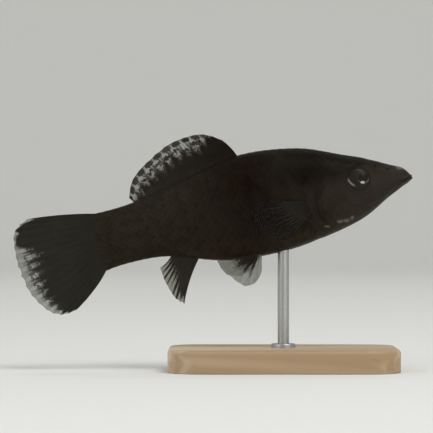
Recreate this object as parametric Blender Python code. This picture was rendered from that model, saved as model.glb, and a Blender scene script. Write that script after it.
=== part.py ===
"""A black molly, 70 mm long, as a still life-size model on a plain display stand.

The fish is built in its own frame: the snout tip is the origin, +X points ahead, +Y to the
fish's left and +Z to its back. One empty then lifts it over the stand and tips its head up.
Distances along the body are counted from the snout towards the tail, so x = -distance.
"""

import math
from collections import namedtuple

import bmesh
import bpy
import numpy as np
from mathutils import Matrix, Vector

MM = 0.001

# Driving dimensions of the pose and the stand, in metres. The stand's foot is the part's origin.
HEAD_UP = math.radians(11.0)
SNOUT_AHEAD_OF_ROD = 22.4 * MM
SNOUT_HEIGHT = 33.5 * MM
BASE_LENGTH = 40.0 * MM
BASE_WIDTH = 24.0 * MM
BASE_THICKNESS = 4.0 * MM
BASE_CORNER = 6.0 * MM
BASE_EDGE = 0.6 * MM
ROD_DIAMETER = 2.0 * MM
ROD_SOCKET_DEPTH = 1.5 * MM
ROD_POINTS = 24
ROD_END_LIMIT = 27.5 * MM

# Clearances and thicknesses.
GAP = 0.3 * MM
FIN_MEMBRANE = 0.50 * MM
FIN_RAY = 0.72 * MM

# How finely the body is divided: points round each ring, rings of the head, and the longest steps
# from ring to ring behind it.
RING_POINTS = 32
HEAD_RINGS = 22
JAW_RINGS = 16
TRUNK_STEP = 1.9 * MM
STALK_STEP = 1.7 * MM
CLEARANCE_STEP = 1.8 * MM

# The body's sections, in millimetres. `at` is the distance behind the snout tip; back, belly and
# widest are heights over the snout's level; side is the half width. The two bends are the powers
# of the section's upper and lower halves: 2 is an ellipse, more is flatter, less is a ridge.
Section = namedtuple("Section", "at back belly side widest back_bend belly_bend")
SECTIONS = (
    Section(0.0, 0.20, 0.20, 0.00, 0.20, 2.2, 2.0),  # snout tip
    Section(0.4, 0.84, -0.45, 1.20, 0.20, 2.4, 2.0),  # lips
    Section(1.0, 1.62, -0.78, 1.85, 0.25, 2.6, 2.0),
    Section(1.8, 2.25, -1.12, 2.35, 0.35, 2.7, 2.0),  # top of the upper lip
    Section(3.0, 2.76, -1.72, 2.80, 0.40, 2.7, 1.95),
    Section(5.0, 3.70, -2.74, 3.35, 0.50, 2.6, 1.9),  # nostrils
    Section(8.0, 5.10, -4.50, 4.00, 0.60, 2.45, 1.9),  # front of the eye
    Section(12.0, 6.55, -6.08, 4.60, 0.50, 2.25, 1.95),  # cheek
    Section(17.0, 8.42, -7.27, 5.00, 0.20, 2.0, 2.05),  # gill opening
    Section(22.0, 9.36, -8.14, 5.00, 0.00, 1.85, 2.15),
    Section(27.0, 9.67, -8.44, 4.75, -0.10, 1.8, 2.2),  # deepest, before the dorsal fin
    Section(32.0, 9.20, -8.30, 4.35, 0.00, 1.75, 2.2),
    Section(38.0, 7.58, -7.16, 3.55, 0.10, 1.75, 2.0),  # vent
    Section(44.0, 6.00, -5.43, 2.70, 0.10, 1.85, 1.9),  # start of the tail stalk
    Section(50.0, 4.79, -5.16, 1.95, -0.20, 2.0, 2.0),
    Section(54.0, 4.44, -5.55, 1.25, -0.55, 2.1, 2.1),
    Section(56.0, 4.36, -5.95, 0.45, -0.80, 2.2, 2.2),  # root of the tail fin
)
BODY_END = SECTIONS[-1].at * MM
SNOUT_FIRST_RING = 0.03 * MM

# Where the body is parted.
HEAD_END = 17.4 * MM
TRUNK_END = 44.0 * MM

# The eye: where its middle lies, and its half sizes. Where it leaves the skin it is 4.1 mm across.
EYE_AT = 9.44 * MM
EYE_HEIGHT = 1.29 * MM
EYE_SIDE = 3.50 * MM
EYE_RADIUS = 2.46 * MM
EYE_DEPTH = 1.0 * MM
EYE_FACES_AHEAD = math.radians(9.0)
EYE_FACES_UP = math.radians(7.0)
EYE_SEGMENTS = 18
EYE_RINGS = 10

# The mouth and the gill cover, as outlines seen from the side, in millimetres behind and above
# the snout tip.
MOUTH_TIP = (-1.0, 0.40)
MOUTH_CORNER = (2.4, 0.05)
JAW_HINGE_UNDER = (5.4, -3.9)
JAW_FRONT_UNDER = (-1.0, -3.9)
JAW_CUT_SIDE = 6.0 * MM
GILL_MIDDLE = (13.6, -1.2)
GILL_REACH_BACK = 2.8
GILL_REACH_AHEAD = 1.2
GILL_REACH_UP = 4.3
GILL_REACH_DOWN = 4.7
GILL_LEAN = 0.25
GILL_BEND = 2.4
GILL_INNER_SIDE = 2.0 * MM
GILL_OUTER_SIDE = 8.0 * MM
GILL_POINTS = 28

# The middle fins: how many rays, as in the species, and rows of faces along them; where the rays are
# rooted and where they end, front or top ray first, as (distance behind the snout, height) in
# millimetres; how far the rays bow, in millimetres; and how far the margin swings to the sides.
MiddleFin = namedtuple("MiddleFin", "rays rows root margin bow wave")
DORSAL = MiddleFin(
    rays=13,
    rows=6,
    root=((28.9, 8.9), (38.5, 6.9), (48.1, 4.3)),
    margin=(
        (31.3, 12.75), (34.2, 14.3), (37.7, 14.35), (41.3, 13.4), (44.8, 11.35), (47.7, 8.9), (48.95, 5.85),
    ),
    bow=(0.25, 0.3, 0.15),
    wave=0.35 * MM,
)
CAUDAL = MiddleFin(
    rays=16,
    rows=8,
    root=((54.6, 4.2), (54.9, -0.6), (54.9, -5.25)),
    margin=(
        (67.2, 5.65), (69.7, 4.0), (70.3, 0.7), (70.15, -2.9),
        (69.1, -6.8), (67.1, -10.0), (64.6, -11.8), (61.8, -11.5),
    ),
    bow=(0.3, 0.0, -0.42),
    wave=0.70 * MM,
)
ANAL = MiddleFin(
    rays=9,
    rows=5,
    root=((38.9, -6.5), (41.2, -5.9), (43.4, -5.1)),
    margin=((43.1, -14.0), (44.3, -12.9), (45.1, -11.1), (45.7, -9.1), (46.0, -7.1)),
    bow=(0.35, 0.1, -0.2),
    wave=0.30 * MM,
)
FIN_NOTCH = 0.025

# The paired fins: a fan of rays about a short root. Angles fall below the line to the tail.
PAIRED_FIN_CUP = 0.05
PELVIC_RAYS = 6
PELVIC_ROWS = 4
PELVIC_ROOT = (28.8, -7.75)
PELVIC_ROOT_SIDE = 1.35 * MM
PELVIC_ROOT_LENGTH = 1.3 * MM
PELVIC_ANGLES = (84.0, 66.0, 51.0, 36.0, 20.0, 4.0)
PELVIC_LENGTHS = (3.2, 5.5, 6.8, 7.1, 7.4, 7.2)
PELVIC_SPLAY = math.radians(16.0)
PELVIC_TURN_OUT = math.radians(26.0)
PELVIC_LEFT_TURN_OUT = math.radians(8.0)
PELVIC_LEFT_SWEEP = math.radians(26.0)
PECTORAL_RAYS = 11
PECTORAL_ROWS = 5
PECTORAL_ROOT = (18.3, -1.55)
PECTORAL_ROOT_SIDE = 4.6 * MM
PECTORAL_ROOT_LENGTH = 2.0 * MM
PECTORAL_ANGLES = (-10.0, 10.0, 34.0)
PECTORAL_LENGTHS = (9.2, 10.4, 7.0)
PECTORAL_SPLAY = math.radians(17.0)


def smooth_curve(places, values):
    """The natural cubic curve through the values at these places."""
    places = np.asarray(places, float)
    values = np.asarray(values, float)
    steps = np.diff(places)
    slopes = np.diff(values, axis=0)
    slopes = slopes / steps.reshape((-1,) + (1,) * (values.ndim - 1))
    count = len(places)
    system = np.eye(count)
    wanted = np.zeros_like(values)
    for i in range(1, count - 1):
        system[i, i - 1 : i + 2] = steps[i - 1], 2 * (steps[i - 1] + steps[i]), steps[i]
        wanted[i] = 3 * (slopes[i] - slopes[i - 1])
    bends = np.linalg.solve(system, wanted)

    def at(place):
        i = int(np.clip(np.searchsorted(places, place) - 1, 0, count - 2))
        along = place - places[i]
        first = slopes[i] - steps[i] * (2 * bends[i] + bends[i + 1]) / 3
        third = (bends[i + 1] - bends[i]) / (3 * steps[i])
        return values[i] + along * (first + along * (bends[i] + along * third))

    return at


def evenly(points):
    """A smooth curve through the points, which takes them at even steps from 0 to 1."""
    return smooth_curve(np.linspace(0.0, 1.0, len(points)), points)


# The curves run on the square root of the distance, which makes the snout round.
SECTION_AT = smooth_curve([math.sqrt(s.at) for s in SECTIONS], [s[1:] for s in SECTIONS])


def power(value, bend):
    return math.copysign(abs(value) ** (2.0 / bend), value)


def section_point(distance, angle, grow=0.0):
    """A point of the body's skin. The angle runs from the left side over the back."""
    back, belly, side, widest, back_bend, belly_bend = SECTION_AT(math.sqrt(distance / MM))
    across, up = math.cos(angle), math.sin(angle)
    bend = back_bend if up >= 0 else belly_bend
    height = back - widest if up >= 0 else widest - belly
    return Vector(
        (
            -distance,
            (side * MM + grow) * power(across, bend),
            widest * MM + (height * MM + grow) * power(up, bend),
        )
    )


def to_fish(point, y=0.0):
    """A side-view point (millimetres behind and above the snout) in the fish's frame."""
    return Vector((-point[0] * MM, y, point[1] * MM))


def finish_mesh(bm, name):
    bmesh.ops.recalc_face_normals(bm, faces=bm.faces)
    mesh = bpy.data.meshes.new(name)
    bm.to_mesh(mesh)
    bm.free()
    return mesh


def add_object(name, mesh, parent=None):
    obj = bpy.data.objects.new(name, mesh)
    bpy.context.scene.collection.objects.link(obj)
    obj.parent = parent
    return obj


def body_length(name, fish, distances, grow=0.0):
    """A closed stretch of the body: one ring pushed on from distance to distance, then capped."""
    bm = bmesh.new()
    bmesh.ops.create_circle(bm, segments=RING_POINTS, radius=1.0)
    turn = bm.verts.layers.float.new("turn")
    bm.verts.ensure_lookup_table()
    for vert in bm.verts:
        vert[turn] = math.atan2(vert.co.y, vert.co.x)
    ring_verts, ring_edges = bm.verts[:], bm.edges[:]
    ends = [ring_edges]
    for i, distance in enumerate(distances):
        if i:
            made = bmesh.ops.extrude_edge_only(bm, edges=ring_edges)["geom"]
            ring_verts = [g for g in made if isinstance(g, bmesh.types.BMVert)]
            ring_edges = [g for g in made if isinstance(g, bmesh.types.BMEdge)]
            ring_edges = [e for e in ring_edges if all(v in ring_verts for v in e.verts)]
        for vert in ring_verts:
            vert.co = section_point(distance, vert[turn], grow)
    ends.append(ring_edges)
    for edges in ends:
        bmesh.ops.contextual_create(bm, geom=edges)
    return add_object(name, finish_mesh(bm, name), fish)


def spaced(start, end, step):
    """Even distances from start to end, no further apart than step."""
    return np.linspace(start, end, max(2, math.ceil((end - start) / step) + 1))


def head_distances(end):
    """Rings that crowd towards the round snout."""
    roots = np.linspace(math.sqrt(SNOUT_FIRST_RING), math.sqrt(end), HEAD_RINGS)
    return roots * roots


def prism(name, fish, outline, low, high):
    """A side-view outline pushed through from one side height to another. A cutter."""
    bm = bmesh.new()
    corners = [bm.verts.new(to_fish(point, low)) for point in outline]
    face = bm.faces.new(corners)
    pushed = bmesh.ops.extrude_face_region(bm, geom=[face])["geom"]
    moved = [g for g in pushed if isinstance(g, bmesh.types.BMVert)]
    bmesh.ops.translate(bm, verts=moved, vec=(0.0, high - low, 0.0))
    return hide(add_object(name, finish_mesh(bm, name), fish))


def hide(obj):
    """A cutter or guide, which is left out of the model."""
    obj.hide_render = True
    obj.display_type = "WIRE"
    return obj


def boolean(obj, cutter, operation="DIFFERENCE"):
    modifier = obj.modifiers.new(cutter.name, "BOOLEAN")
    modifier.operation = operation
    modifier.solver = "EXACT"
    modifier.object = cutter


def jaw_outline(grow):
    """The lower jaw from the side: its upper edge is the mouth, its rear edge the jaw's hinge."""
    tip, corner, under = Vector(MOUTH_TIP), Vector(MOUTH_CORNER), Vector(JAW_HINGE_UNDER)
    widen = grow / MM
    return [
        tip + Vector((0, widen)),
        corner + Vector((widen * 0.6, widen)),
        under + Vector((widen, 0)),
        Vector(JAW_FRONT_UNDER),
    ]


def gill_outline(grow):
    """The gill cover from the side: a rounded plate that reaches further back than ahead."""
    points = []
    for i in range(GILL_POINTS):
        angle = 2 * math.pi * i / GILL_POINTS
        back, up = math.cos(angle), math.sin(angle)
        reach = GILL_REACH_BACK if back > 0 else GILL_REACH_AHEAD
        rise = GILL_REACH_UP if up > 0 else GILL_REACH_DOWN
        points.append(
            (
                GILL_MIDDLE[0] + (reach + grow / MM) * power(back, GILL_BEND) + GILL_LEAN * up,
                GILL_MIDDLE[1] + (rise + grow / MM) * power(up, GILL_BEND),
            )
        )
    return points


def eye_matrix(side, grow):
    """Places a unit ball as the eye of one side (+1 left, -1 right), turned a little ahead and up."""
    place = Vector((-EYE_AT, side * EYE_SIDE, EYE_HEIGHT))
    ahead = Matrix.Rotation(-side * EYE_FACES_AHEAD, 4, "Z")
    up = Matrix.Rotation(side * EYE_FACES_UP, 4, "X")
    size = Matrix.Diagonal((EYE_RADIUS + grow, EYE_DEPTH + grow, EYE_RADIUS + grow, 1.0))
    pole_on_side = Matrix.Rotation(math.radians(90.0), 4, "X")
    return Matrix.Translation(place) @ ahead @ up @ size @ pole_on_side


def eyeball(name, fish, side, grow=0.0):
    bm = bmesh.new()
    bmesh.ops.create_uvsphere(bm, u_segments=EYE_SEGMENTS, v_segments=EYE_RINGS, radius=1.0)
    bm.transform(eye_matrix(side, grow))
    return add_object(name, finish_mesh(bm, name), fish)


def fin_plate(name, fish, rays, rows, place, clearance):
    """A fin: a grid shaped by place(u, v), thick along its rays and thin between them.

    u runs from the first ray to the last and v from the root to the margin. The grid has a
    column on every ray and one between each pair.
    """
    columns = 2 * (rays - 1)
    bm = bmesh.new()
    bmesh.ops.create_grid(bm, x_segments=columns, y_segments=rows, size=0.5)
    across = [vert.co.x + 0.5 for vert in bm.verts]
    for vert in bm.verts:
        vert.co = place(vert.co.x + 0.5, vert.co.y + 0.5)
    obj = add_object(name, finish_mesh(bm, name), fish)
    on_ray = obj.vertex_groups.new(name="rays")
    on_ray.add([i for i, u in enumerate(across) if round(u * columns) % 2 == 0], 1.0, "REPLACE")
    plate = obj.modifiers.new("plate", "SOLIDIFY")
    plate.thickness = FIN_RAY
    plate.offset = 0.0
    plate.use_even_offset = True
    plate.vertex_group = on_ray.name
    plate.thickness_vertex_group = FIN_MEMBRANE / FIN_RAY
    boolean(obj, clearance)
    return obj


def scallop(u, rays):
    """1 on a ray and a little less between two rays, for the fin's notched margin."""
    return 1.0 - FIN_NOTCH * abs(math.sin(math.pi * u * (rays - 1)))


def middle_fin(fin):
    """place(u, v) of a dorsal, caudal or anal fin, which stands in the centre plane."""
    root_at, margin_at, bow_at = evenly(fin.root), evenly(fin.margin), evenly(fin.bow)

    def place(u, v):
        start, end = Vector(root_at(u)), Vector(margin_at(u))
        ray = (end - start) * scallop(u, fin.rays)
        sideways = Vector((-ray.y, ray.x)).normalized()
        point = start + ray * v + sideways * (4 * v * (1 - v) * float(bow_at(u)))
        return to_fish(point, fin.wave * v * v * math.sin(math.pi * (0.25 + 1.5 * u)))

    return place


def fan_fin(angles, lengths, root_length, rays):
    """place(u, v) of a paired fin, in its own flat frame: rays spread from a short root at x = 0."""
    angle_at, length_at = evenly(angles), evenly(lengths)

    def place(u, v):
        angle = math.radians(float(angle_at(u)))
        length = float(length_at(u)) * MM * scallop(u, rays)
        start = Vector((0.0, 0.0, (0.5 - u) * root_length))
        ray = Vector((-math.cos(angle), 0.0, -math.sin(angle))) * length
        cup = PAIRED_FIN_CUP * length * v * v * math.cos(math.pi * u)
        return start + ray * v + Vector((0.0, cup, 0.0))

    return place


def paired_place(flat_place, matrix):
    def place(u, v):
        return matrix @ flat_place(u, v)

    return place


def pelvic_matrix(side):
    """The pelvic fin's root on the belly. The left fin lies further back than the right one."""
    root = to_fish(PELVIC_ROOT, side * PELVIC_ROOT_SIDE)
    turn_out, sweep = (PELVIC_LEFT_TURN_OUT, PELVIC_LEFT_SWEEP) if side > 0 else (PELVIC_TURN_OUT, 0.0)
    turn = Matrix.Rotation(-side * turn_out, 4, "Z")
    splay = Matrix.Rotation(side * PELVIC_SPLAY, 4, "X")
    lie_back = Matrix.Rotation(sweep, 4, "Y")
    return Matrix.Translation(root) @ turn @ splay @ lie_back


def pelvic_place(side):
    """A pelvic fin, whose root runs along the belly and not up the side."""
    matrix = pelvic_matrix(side)
    flat = fan_fin(PELVIC_ANGLES, PELVIC_LENGTHS, 0.0, PELVIC_RAYS)

    def place(u, v):
        root = Vector(((0.5 - u) * PELVIC_ROOT_LENGTH, 0.0, 0.0))
        return matrix @ (root * (1.0 - v) + flat(u, v))

    return place


def pectoral_matrix(side):
    root = to_fish(PECTORAL_ROOT, side * PECTORAL_ROOT_SIDE)
    return Matrix.Translation(root) @ Matrix.Rotation(-side * PECTORAL_SPLAY, 4, "Z")


def material(name, color, roughness, metallic=0.0):
    made = bpy.data.materials.new(name)
    made.use_nodes = True
    shader = made.node_tree.nodes["Principled BSDF"]
    shader.inputs["Base Color"].default_value = (*color, 1.0)
    shader.inputs["Roughness"].default_value = roughness
    shader.inputs["Metallic"].default_value = metallic
    return made


def paint(obj, finish):
    obj.data.materials.append(finish)
    obj.data.shade_smooth()
    obj.data.set_sharp_from_angle(angle=math.radians(40.0))


def build_body(fish, skin):
    """Head, lower jaw, gill covers, trunk and tail stalk."""
    half_gap = GAP / 2
    head = body_length("head", fish, head_distances(HEAD_END - half_gap))
    trunk = body_length("trunk", fish, spaced(HEAD_END + half_gap, TRUNK_END - half_gap, TRUNK_STEP))
    stalk = body_length("tail_stalk", fish, spaced(TRUNK_END + half_gap, BODY_END, STALK_STEP))
    jaw = body_length("lower_jaw", fish, head_distances(HEAD_END - half_gap)[:JAW_RINGS])
    jaw_shape = prism("jaw_shape", fish, jaw_outline(0.0), -JAW_CUT_SIDE, JAW_CUT_SIDE)
    boolean(jaw, jaw_shape, "INTERSECT")
    boolean(head, prism("jaw_room", fish, jaw_outline(GAP), -JAW_CUT_SIDE, JAW_CUT_SIDE))
    pieces = [head, trunk, stalk, jaw]
    for side, word in ((1, "left"), (-1, "right")):
        low, high = sorted((side * GILL_INNER_SIDE, side * GILL_OUTER_SIDE))
        cover = body_length(f"gill_cover_{word}", fish, head_distances(HEAD_END - half_gap))
        boolean(cover, prism(f"gill_shape_{word}", fish, gill_outline(0.0), low, high), "INTERSECT")
        low, high = sorted((side * (GILL_INNER_SIDE - GAP), side * (GILL_OUTER_SIDE + GAP)))
        boolean(head, prism(f"gill_room_{word}", fish, gill_outline(GAP), low, high))
        eye_room = hide(eyeball(f"eye_room_{word}", fish, side, GAP))
        boolean(head, eye_room)
        boolean(cover, eye_room)
        pieces.append(cover)
    for piece in pieces:
        paint(piece, skin)


def build_eyes(fish, finish):
    for side, word in ((1, "left"), (-1, "right")):
        paint(eyeball(f"eye_{word}", fish, side), finish)


def build_fins(fish, clearance, finish):
    fins = []
    for name, fin in (("dorsal_fin", DORSAL), ("caudal_fin", CAUDAL), ("anal_fin", ANAL)):
        fins.append(fin_plate(name, fish, fin.rays, fin.rows, middle_fin(fin), clearance))
    paddle = fan_fin(PECTORAL_ANGLES, PECTORAL_LENGTHS, PECTORAL_ROOT_LENGTH, PECTORAL_RAYS)
    for side, word in ((1, "left"), (-1, "right")):
        pectoral, pelvic = paired_place(paddle, pectoral_matrix(side)), pelvic_place(side)
        pair = (
            (f"pectoral_fin_{word}", PECTORAL_RAYS, PECTORAL_ROWS, pectoral),
            (f"pelvic_fin_{word}", PELVIC_RAYS, PELVIC_ROWS, pelvic),
        )
        for name, rays, rows, place in pair:
            fins.append(fin_plate(name, fish, rays, rows, place, clearance))
    for fin in fins:
        paint(fin, finish)


def build_stand(clearance, base_finish, rod_finish):
    """A flat oval-cornered base, and one rod from a socket in it up to the belly."""
    bm = bmesh.new()
    bmesh.ops.create_cube(bm, size=1.0)
    bmesh.ops.scale(bm, verts=bm.verts, vec=(BASE_LENGTH, BASE_WIDTH, BASE_THICKNESS))
    bmesh.ops.translate(bm, verts=bm.verts, vec=(0.0, 0.0, BASE_THICKNESS / 2))
    uprights = [e for e in bm.edges if abs(e.verts[0].co.z - e.verts[1].co.z) > BASE_THICKNESS / 2]
    bmesh.ops.bevel(bm, geom=uprights, offset=BASE_CORNER, segments=7, profile=0.5, affect="EDGES")
    rim = [e for e in bm.edges if all(v.co.z > BASE_THICKNESS * 0.99 for v in e.verts)]
    bmesh.ops.bevel(bm, geom=rim, offset=BASE_EDGE, segments=2, profile=0.5, affect="EDGES")
    base = add_object("stand_base", finish_mesh(bm, "stand_base"))
    rod_foot = BASE_THICKNESS - ROD_SOCKET_DEPTH
    socket = cylinder("rod_socket", ROD_DIAMETER / 2 + GAP, rod_foot - GAP, BASE_THICKNESS * 2)
    boolean(base, hide(socket))
    rod = cylinder("stand_rod", ROD_DIAMETER / 2, rod_foot, SNOUT_HEIGHT)
    boolean(rod, clearance)
    boolean(rod, above_belly())
    paint(base, base_finish)
    paint(rod, rod_finish)


def cylinder(name, radius, low, high):
    bm = bmesh.new()
    middle = Matrix.Translation((0.0, 0.0, (low + high) / 2))
    bmesh.ops.create_cone(
        bm, cap_ends=True, segments=ROD_POINTS, radius1=radius, radius2=radius, depth=high - low,
        matrix=middle,
    )
    return add_object(name, finish_mesh(bm, name))


def above_belly():
    """Takes away what is left of the rod over the fish's middle."""
    width, height = 5 * ROD_DIAMETER, 10 * ROD_DIAMETER
    bm = bmesh.new()
    bmesh.ops.create_cube(bm, size=1.0)
    bmesh.ops.scale(bm, verts=bm.verts, vec=(width, width, height))
    bmesh.ops.translate(bm, verts=bm.verts, vec=(0.0, 0.0, ROD_END_LIMIT + height / 2))
    return hide(add_object("above_belly", finish_mesh(bm, "above_belly")))


def main():
    for obj in list(bpy.data.objects):
        bpy.data.objects.remove(obj)
    fish = bpy.data.objects.new("fish_pose", None)
    bpy.context.scene.collection.objects.link(fish)
    fish.location = (SNOUT_AHEAD_OF_ROD, 0.0, SNOUT_HEIGHT)
    fish.rotation_euler = (0.0, -HEAD_UP, 0.0)
    skin = material("black_skin", (0.015, 0.013, 0.010), 0.45)
    fin = material("black_fin", (0.020, 0.018, 0.015), 0.50)
    eye = material("dark_eye", (0.008, 0.008, 0.008), 0.08)
    ash = material("pale_wood", (0.62, 0.50, 0.36), 0.45)
    steel = material("brushed_steel", (0.60, 0.60, 0.58), 0.32, 1.0)
    behind_head = spaced(HEAD_END, BODY_END, CLEARANCE_STEP)[1:]
    body_room = [*head_distances(HEAD_END), *behind_head, BODY_END + GAP]
    clearance = hide(body_length("body_clearance", fish, body_room, GAP))
    build_body(fish, skin)
    build_eyes(fish, eye)
    build_fins(fish, clearance, fin)
    build_stand(clearance, ash, steel)


main()
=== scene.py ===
"""The looks of a black molly on its display stand: skin, scales, fins, eyes, stand and light.

Shapes are worked out in millimetres in the fish's own frame, where the snout tip is the origin,
+X points ahead, +Y to the fish's left and +Z to its back. `along` counts from the snout to the
tail, so x = -along. to_world then tips the head up and lifts the fish over its stand.
"""

import math

import bpy
import numpy as np
from mathutils import Matrix, Vector


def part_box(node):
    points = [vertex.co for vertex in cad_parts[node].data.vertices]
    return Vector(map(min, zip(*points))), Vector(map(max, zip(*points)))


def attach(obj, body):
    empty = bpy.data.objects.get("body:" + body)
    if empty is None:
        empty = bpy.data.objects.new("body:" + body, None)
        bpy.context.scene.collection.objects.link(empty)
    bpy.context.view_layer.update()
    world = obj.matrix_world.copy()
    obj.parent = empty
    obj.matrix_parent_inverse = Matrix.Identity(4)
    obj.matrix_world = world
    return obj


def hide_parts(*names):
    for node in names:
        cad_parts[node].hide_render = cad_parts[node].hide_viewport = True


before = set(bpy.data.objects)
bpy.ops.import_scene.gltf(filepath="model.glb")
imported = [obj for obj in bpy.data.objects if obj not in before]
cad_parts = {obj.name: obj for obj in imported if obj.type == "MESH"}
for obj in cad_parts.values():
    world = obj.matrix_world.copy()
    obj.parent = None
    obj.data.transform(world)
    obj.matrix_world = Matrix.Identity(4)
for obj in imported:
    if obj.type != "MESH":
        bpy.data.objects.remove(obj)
bpy.ops.object.select_all(action="DESELECT")
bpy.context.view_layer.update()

MM = 0.001

# The pose over the stand, in millimetres.
HEAD_UP = math.radians(11.0)
SNOUT_AHEAD = 22.4
SNOUT_HEIGHT = 33.5

# The body's sections: distance behind the snout; heights of back and belly; half width; height of
# the widest place; and how square the upper and the lower half are (2 is an ellipse).
SECTIONS = (
    (0.0, 0.20, 0.20, 0.00, 0.20, 2.2, 2.0),
    (0.4, 0.84, -0.45, 1.20, 0.20, 2.4, 2.0),
    (1.0, 1.62, -0.78, 1.85, 0.25, 2.6, 2.0),
    (1.8, 2.25, -1.12, 2.35, 0.35, 2.7, 2.0),
    (3.0, 2.76, -1.72, 2.80, 0.40, 2.7, 1.95),
    (5.0, 3.70, -2.74, 3.35, 0.50, 2.6, 1.9),
    (8.0, 5.10, -4.50, 4.00, 0.60, 2.45, 1.9),
    (12.0, 6.55, -6.08, 4.60, 0.50, 2.25, 1.95),
    (17.0, 8.42, -7.27, 5.00, 0.20, 2.0, 2.05),
    (22.0, 9.36, -8.14, 5.00, 0.00, 1.85, 2.15),
    (27.0, 9.67, -8.44, 4.75, -0.10, 1.8, 2.2),
    (32.0, 9.20, -8.30, 4.35, 0.00, 1.75, 2.2),
    (38.0, 7.58, -7.16, 3.55, 0.10, 1.75, 2.0),
    (44.0, 6.00, -5.43, 2.70, 0.10, 1.85, 1.9),
    (50.0, 4.79, -5.16, 1.95, -0.20, 2.0, 2.0),
    (54.0, 4.44, -5.55, 1.25, -0.55, 2.1, 2.1),
    (56.0, 4.36, -5.95, 0.45, -0.80, 2.2, 2.2),
)
BODY_END = SECTIONS[-1][0]

# The skin's mesh: rings crowd towards the snout by this power.
SKIN_SEGMENTS = 288
SKIN_RINGS = 336
RING_POWER = 1.9
FINE_TURNS = 1440

# The head's features, as side-view places (along, height) in millimetres.
MOUTH_TIP = 0.22
MOUTH_CORNER = (2.3, -0.38)
LIP_FOLD = ((2.35, 2.45), (2.75, 1.3), (2.75, 0.3), (2.45, -0.4))
JAW_FOLD = ((2.45, -0.4), (3.5, -1.3), (4.9, -2.45))
CHEEK_FOLD = ((12.1, 3.5), (12.9, 1.6), (12.8, -0.8), (11.4, -2.9), (8.9, -3.5), (6.6, -2.9))
COVER_TOP_FOLD = ((12.1, 3.5), (13.3, 4.0), (14.6, 4.0))
NOSTRILS = ((4.2, 2.25, 0.19), (6.15, 3.1, 0.16))
BROW_PORES = ((5.4, 3.35), (6.9, 4.0), (8.4, 4.5), (10.0, 4.9), (11.7, 5.2))
CHEEK_PORES = ((12.9, 2.6), (13.3, 0.9), (13.1, -0.9), (12.2, -2.5), (10.6, -3.7), (8.6, -4.05))
JAW_PORES = ((3.4, -1.5), (4.6, -2.1), (6.0, -2.7))
PORE = 0.11
PORES = tuple((*place, PORE) for place in BROW_PORES + CHEEK_PORES + JAW_PORES)
# Pits: their depth and the height of the collar round them.
NOSTRIL_PIT = (0.22, 0.05)
PORE_PIT = (0.10, 0.02)
# Grooves: their depth and half width.
MOUTH_SLIT = (0.30, 0.08)
CREASE_CUT = (0.05, 0.11)
LIP_FOLD_CUT = (0.07, 0.20)
JAW_FOLD_CUT = (0.07, 0.15)
CHEEK_FOLD_CUT = (0.08, 0.18)
COVER_TOP_CUT = (0.012, 0.30)
GILL_SLIT = (0.13, 0.14)
THROAT_CUT = (0.05, 0.12)
# The rolled lips: height over the slit, how far they stand out, half width.
LIPS = ((0.27, 0.07, 0.17), (-0.28, 0.08, 0.18))
# The creases outside the lips: height over the slit, where they start to fade, where they end.
LIP_CREASES = ((0.58, 0.8, 2.0), (-0.60, 0.6, 2.2))
# The folds of the throat: how far each lies ahead of the gill cover's edge.
THROAT_FOLDS = (0.85, 1.7, 2.5, 3.2)
GILL_RISE = 0.10
SOCKET_DEPTH = 1.5
# The gill cover's free edge: (angle over the middle of the side in degrees, distance along).
GILL_EDGE = (
    (-90, 10.6), (-84, 11.0), (-76, 12.5), (-68, 14.0), (-58, 15.3), (-45, 16.4), (-30, 17.1), (-15, 17.35),
    (0, 17.25), (10, 16.9), (22, 16.0), (32, 14.4), (90, 14.4),
)

# The top end of the gill cover's slit, in degrees over the middle of the side.
GILL_TOP = 22.0

# The eye. Its marks lie on the disc seen from its side, in millimetres ahead of and over its middle.
EYE_AT = 9.44
EYE_HEIGHT = 1.29
EYE_SIDE = 3.50
EYE_RADIUS = 2.46
EYE_DEPTH = 1.0
EYE_FACES_AHEAD = math.radians(9.0)
EYE_FACES_UP = math.radians(7.0)
EYE_SEEN = 2.04
PUPIL = (0.70, 0.265)
PUPIL_RADIUS = 0.88
# GLINT is the middle of a painted highlight on the silvery ring under the pupil.
GLINT = (0.38, -0.62)
GLINT_STRETCH = (0.80, 1.10, 1.0)
LENS_RISE = 0.10
# The lip of skin round the eye: its middle outside the eye, and its half width and height.
RIM_PLACE, RIM_OUT, RIM_UP = 0.12, 0.17, 0.10
DISC_SIZE = 8.0
# The silvery crescent at the rear of the iris lies on a circle: its middle, its radius.
CRESCENT = (0.30, 0.98, 2.30)

# The scales: rows around the body, and their step along it.
SCALE_ROWS = 22
SCALE_STEP = 0.69
SCALE_LENGTH = 2.55
SCALE_OVERLAP = 1.22
SCALE_THICKNESS = 0.035
SCALE_PARTS = (5, 4)
TAIL_SCALES = 1.5
COAT = 0.12
SCALES_FROM = 8.0
ROOT_SINK = 0.03
EDGE_LIFT = 0.015
SCALE_BULGE = 0.02
# Scales keep clear of the gill slit: what ends ahead of it or starts behind it is squeezed in.
SLIT_AHEAD, SLIT_BEHIND, SLIT_SQUEEZE = 0.12, 0.16, 0.02
NO_SCALES = (-0.25, 0.55)
BAKE_PATCH = 0.003
# How far forward scales go: (angle over the middle of the side in degrees, distance along).
SCALE_FRONT = (
    (-90, 18.0), (-70, 17.6), (-50, 14.5), (-30, 12.6), (0, 12.2), (20, 12.2), (38, 9.5),
    (60, 7.2), (90, 6.6),
)

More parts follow.
